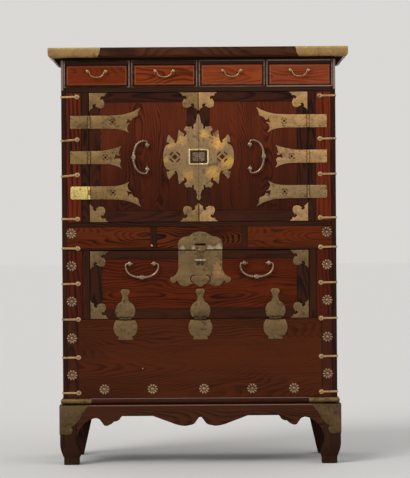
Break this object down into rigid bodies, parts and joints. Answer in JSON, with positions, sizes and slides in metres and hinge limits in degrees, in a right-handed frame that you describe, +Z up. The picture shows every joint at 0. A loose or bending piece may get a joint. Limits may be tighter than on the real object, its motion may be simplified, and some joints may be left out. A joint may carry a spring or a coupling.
{
  "type": "korean_two_tier_chest",
  "caption": "Two-tier Korean chest: small drawers over a cupboard with doors and a drop-front store, with sheet-brass fittings, on a low stand with hoof legs",
  "frame": {"origin": "middle of the footprint on the floor, at the bounding box's bottom centre", "axes": "+X to the right across the front, +Y from the front to the back, +Z up"},
  "size_m": [0.898, 0.4416, 1.25],
  "materials": {
    "dark_wood": "oiled and rubbed, dark brown",
    "red_wood": "oiled, strong red figure",
    "drawer_wood": "oiled, orange red",
    "lower_wood": "oiled, straight grain, worn",
    "inner_wood": "bare, dry softwood",
    "brass": "aged sheet brass with brown patina"
  },
  "bodies": {
    "carcass": {"top_board": "dark_wood", "top_corner_plates": "brass", "side_right": "dark_wood", "side_left": "dark_wood", "side_panels": "red_wood", "back_boards": "inner_wood", "shelves": "inner_wood", "front_posts": "dark_wood", "post_infills": "red_wood", "lower_panel": "lower_wood", "drawer_frame": "dark_wood", "drawer_partitions": "inner_wood", "frieze_frame": "dark_wood", "frieze_panels": "red_wood", "base_moulding": "dark_wood", "plinth_caps": "brass", "aprons": "dark_wood", "legs": "dark_wood", "leg_plates": "brass", "corner_straps": "brass", "rosettes": "brass", "door_hinge_leaves": "brass", "gourd_lower_leaves": "brass", "lock_plate_upper": "brass"},
    "door_left": {"door_left_frame": "dark_wood", "door_left_panel": "red_wood", "door_left_straps": "brass", "door_left_corner_plates": "brass", "door_left_lock_plate": "brass", "door_left_handle_posts": "brass"},
    "door_left_handle": {"door_left_bail": "brass"},
    "door_right": {"door_right_frame": "dark_wood", "door_right_panel": "red_wood", "door_right_straps": "brass", "door_right_corner_plates": "brass", "door_right_lock_plate": "brass", "door_right_handle_posts": "brass"},
    "door_right_handle": {"door_right_bail": "brass"},
    "flap": {"flap_frame": "dark_wood", "flap_panel": "red_wood", "flap_corner_plates": "brass", "flap_gourd_leaves": "brass", "lock_plate_lower": "brass", "flap_handle_posts": "brass"},
    "hasp": {"hasp": "brass", "hasp_staple": "brass"},
    "flap_left_handle": {"flap_bail_left": "brass"},
    "flap_right_handle": {"flap_bail_right": "brass"},
    "drawer_1": {"drawer_1": "drawer_wood", "drawer_1_posts": "brass"},
    "drawer_1_handle": {"drawer_1_bail": "brass"},
    "drawer_2": {"drawer_2": "drawer_wood", "drawer_2_posts": "brass"},
    "drawer_2_handle": {"drawer_2_bail": "brass"},
    "drawer_3": {"drawer_3": "drawer_wood", "drawer_3_posts": "brass"},
    "drawer_3_handle": {"drawer_3_bail": "brass"},
    "drawer_4": {"drawer_4": "drawer_wood", "drawer_4_posts": "brass"},
    "drawer_4_handle": {"drawer_4_bail": "brass"}
  },
  "joints": [
    {"name": "door_left_swing", "type": "hinge", "parent": "carcass", "child": "door_left", "pos_m": [-0.3285, -0.19335, 0.92196], "axis": [0, 0, -1], "range_deg": [0, 170]},
    {"name": "door_right_swing", "type": "hinge", "parent": "carcass", "child": "door_right", "pos_m": [0.3285, -0.19335, 0.92196], "axis": [0, 0, 1], "range_deg": [0, 170]},
    {"name": "door_left_handle_swing", "type": "hinge", "parent": "door_left", "child": "door_left_handle", "pos_m": [-0.154, -0.20125, 0.92196], "axis": [0, 0, 1], "range_deg": [0, 150]},
    {"name": "door_right_handle_swing", "type": "hinge", "parent": "door_right", "child": "door_right_handle", "pos_m": [0.154, -0.20125, 0.92196], "axis": [0, 0, -1], "range_deg": [0, 150]},
    {"name": "flap_drop", "type": "hinge", "parent": "carcass", "child": "flap", "pos_m": [0, -0.19335, 0.438], "axis": [1, 0, 0], "range_deg": [0, 155]},
    {"name": "hasp_lift", "type": "hinge", "parent": "flap", "child": "hasp", "pos_m": [0.003, -0.19535, 0.61246], "axis": [1, 0, 0], "range_deg": [0, 160]},
    {"name": "flap_left_handle_swing", "type": "hinge", "parent": "flap", "child": "flap_left_handle", "pos_m": [-0.172, -0.20125, 0.603], "axis": [-1, 0, 0], "range_deg": [-8, 100]},
    {"name": "flap_right_handle_swing", "type": "hinge", "parent": "flap", "child": "flap_right_handle", "pos_m": [0.172, -0.20125, 0.603], "axis": [-1, 0, 0], "range_deg": [-8, 100]},
    {"name": "drawer_1_slide", "type": "slide", "parent": "carcass", "child": "drawer_1", "axis": [0, -1, 0], "range_m": [0, 0.26]},
    {"name": "drawer_1_handle_swing", "type": "hinge", "parent": "drawer_1", "child": "drawer_1_handle", "pos_m": [-0.30412, -0.19825, 1.18046], "axis": [-1, 0, 0], "range_deg": [-15, 120]},
    {"name": "drawer_2_slide", "type": "slide", "parent": "carcass", "child": "drawer_2", "axis": [0, -1, 0], "range_m": [0, 0.26]},
    {"name": "drawer_2_handle_swing", "type": "hinge", "parent": "drawer_2", "child": "drawer_2_handle", "pos_m": [-0.10138, -0.19825, 1.18046], "axis": [-1, 0, 0], "range_deg": [-15, 120]},
    {"name": "drawer_3_slide", "type": "slide", "parent": "carcass", "child": "drawer_3", "axis": [0, -1, 0], "range_m": [0, 0.26]},
    {"name": "drawer_3_handle_swing", "type": "hinge", "parent": "drawer_3", "child": "drawer_3_handle", "pos_m": [0.10138, -0.19825, 1.18046], "axis": [-1, 0, 0], "range_deg": [-15, 120]},
    {"name": "drawer_4_slide", "type": "slide", "parent": "carcass", "child": "drawer_4", "axis": [0, -1, 0], "range_m": [0, 0.26]},
    {"name": "drawer_4_handle_swing", "type": "hinge", "parent": "drawer_4", "child": "drawer_4_handle", "pos_m": [0.30412, -0.19825, 1.18046], "axis": [-1, 0, 0], "range_deg": [-15, 120]}
  ]
}
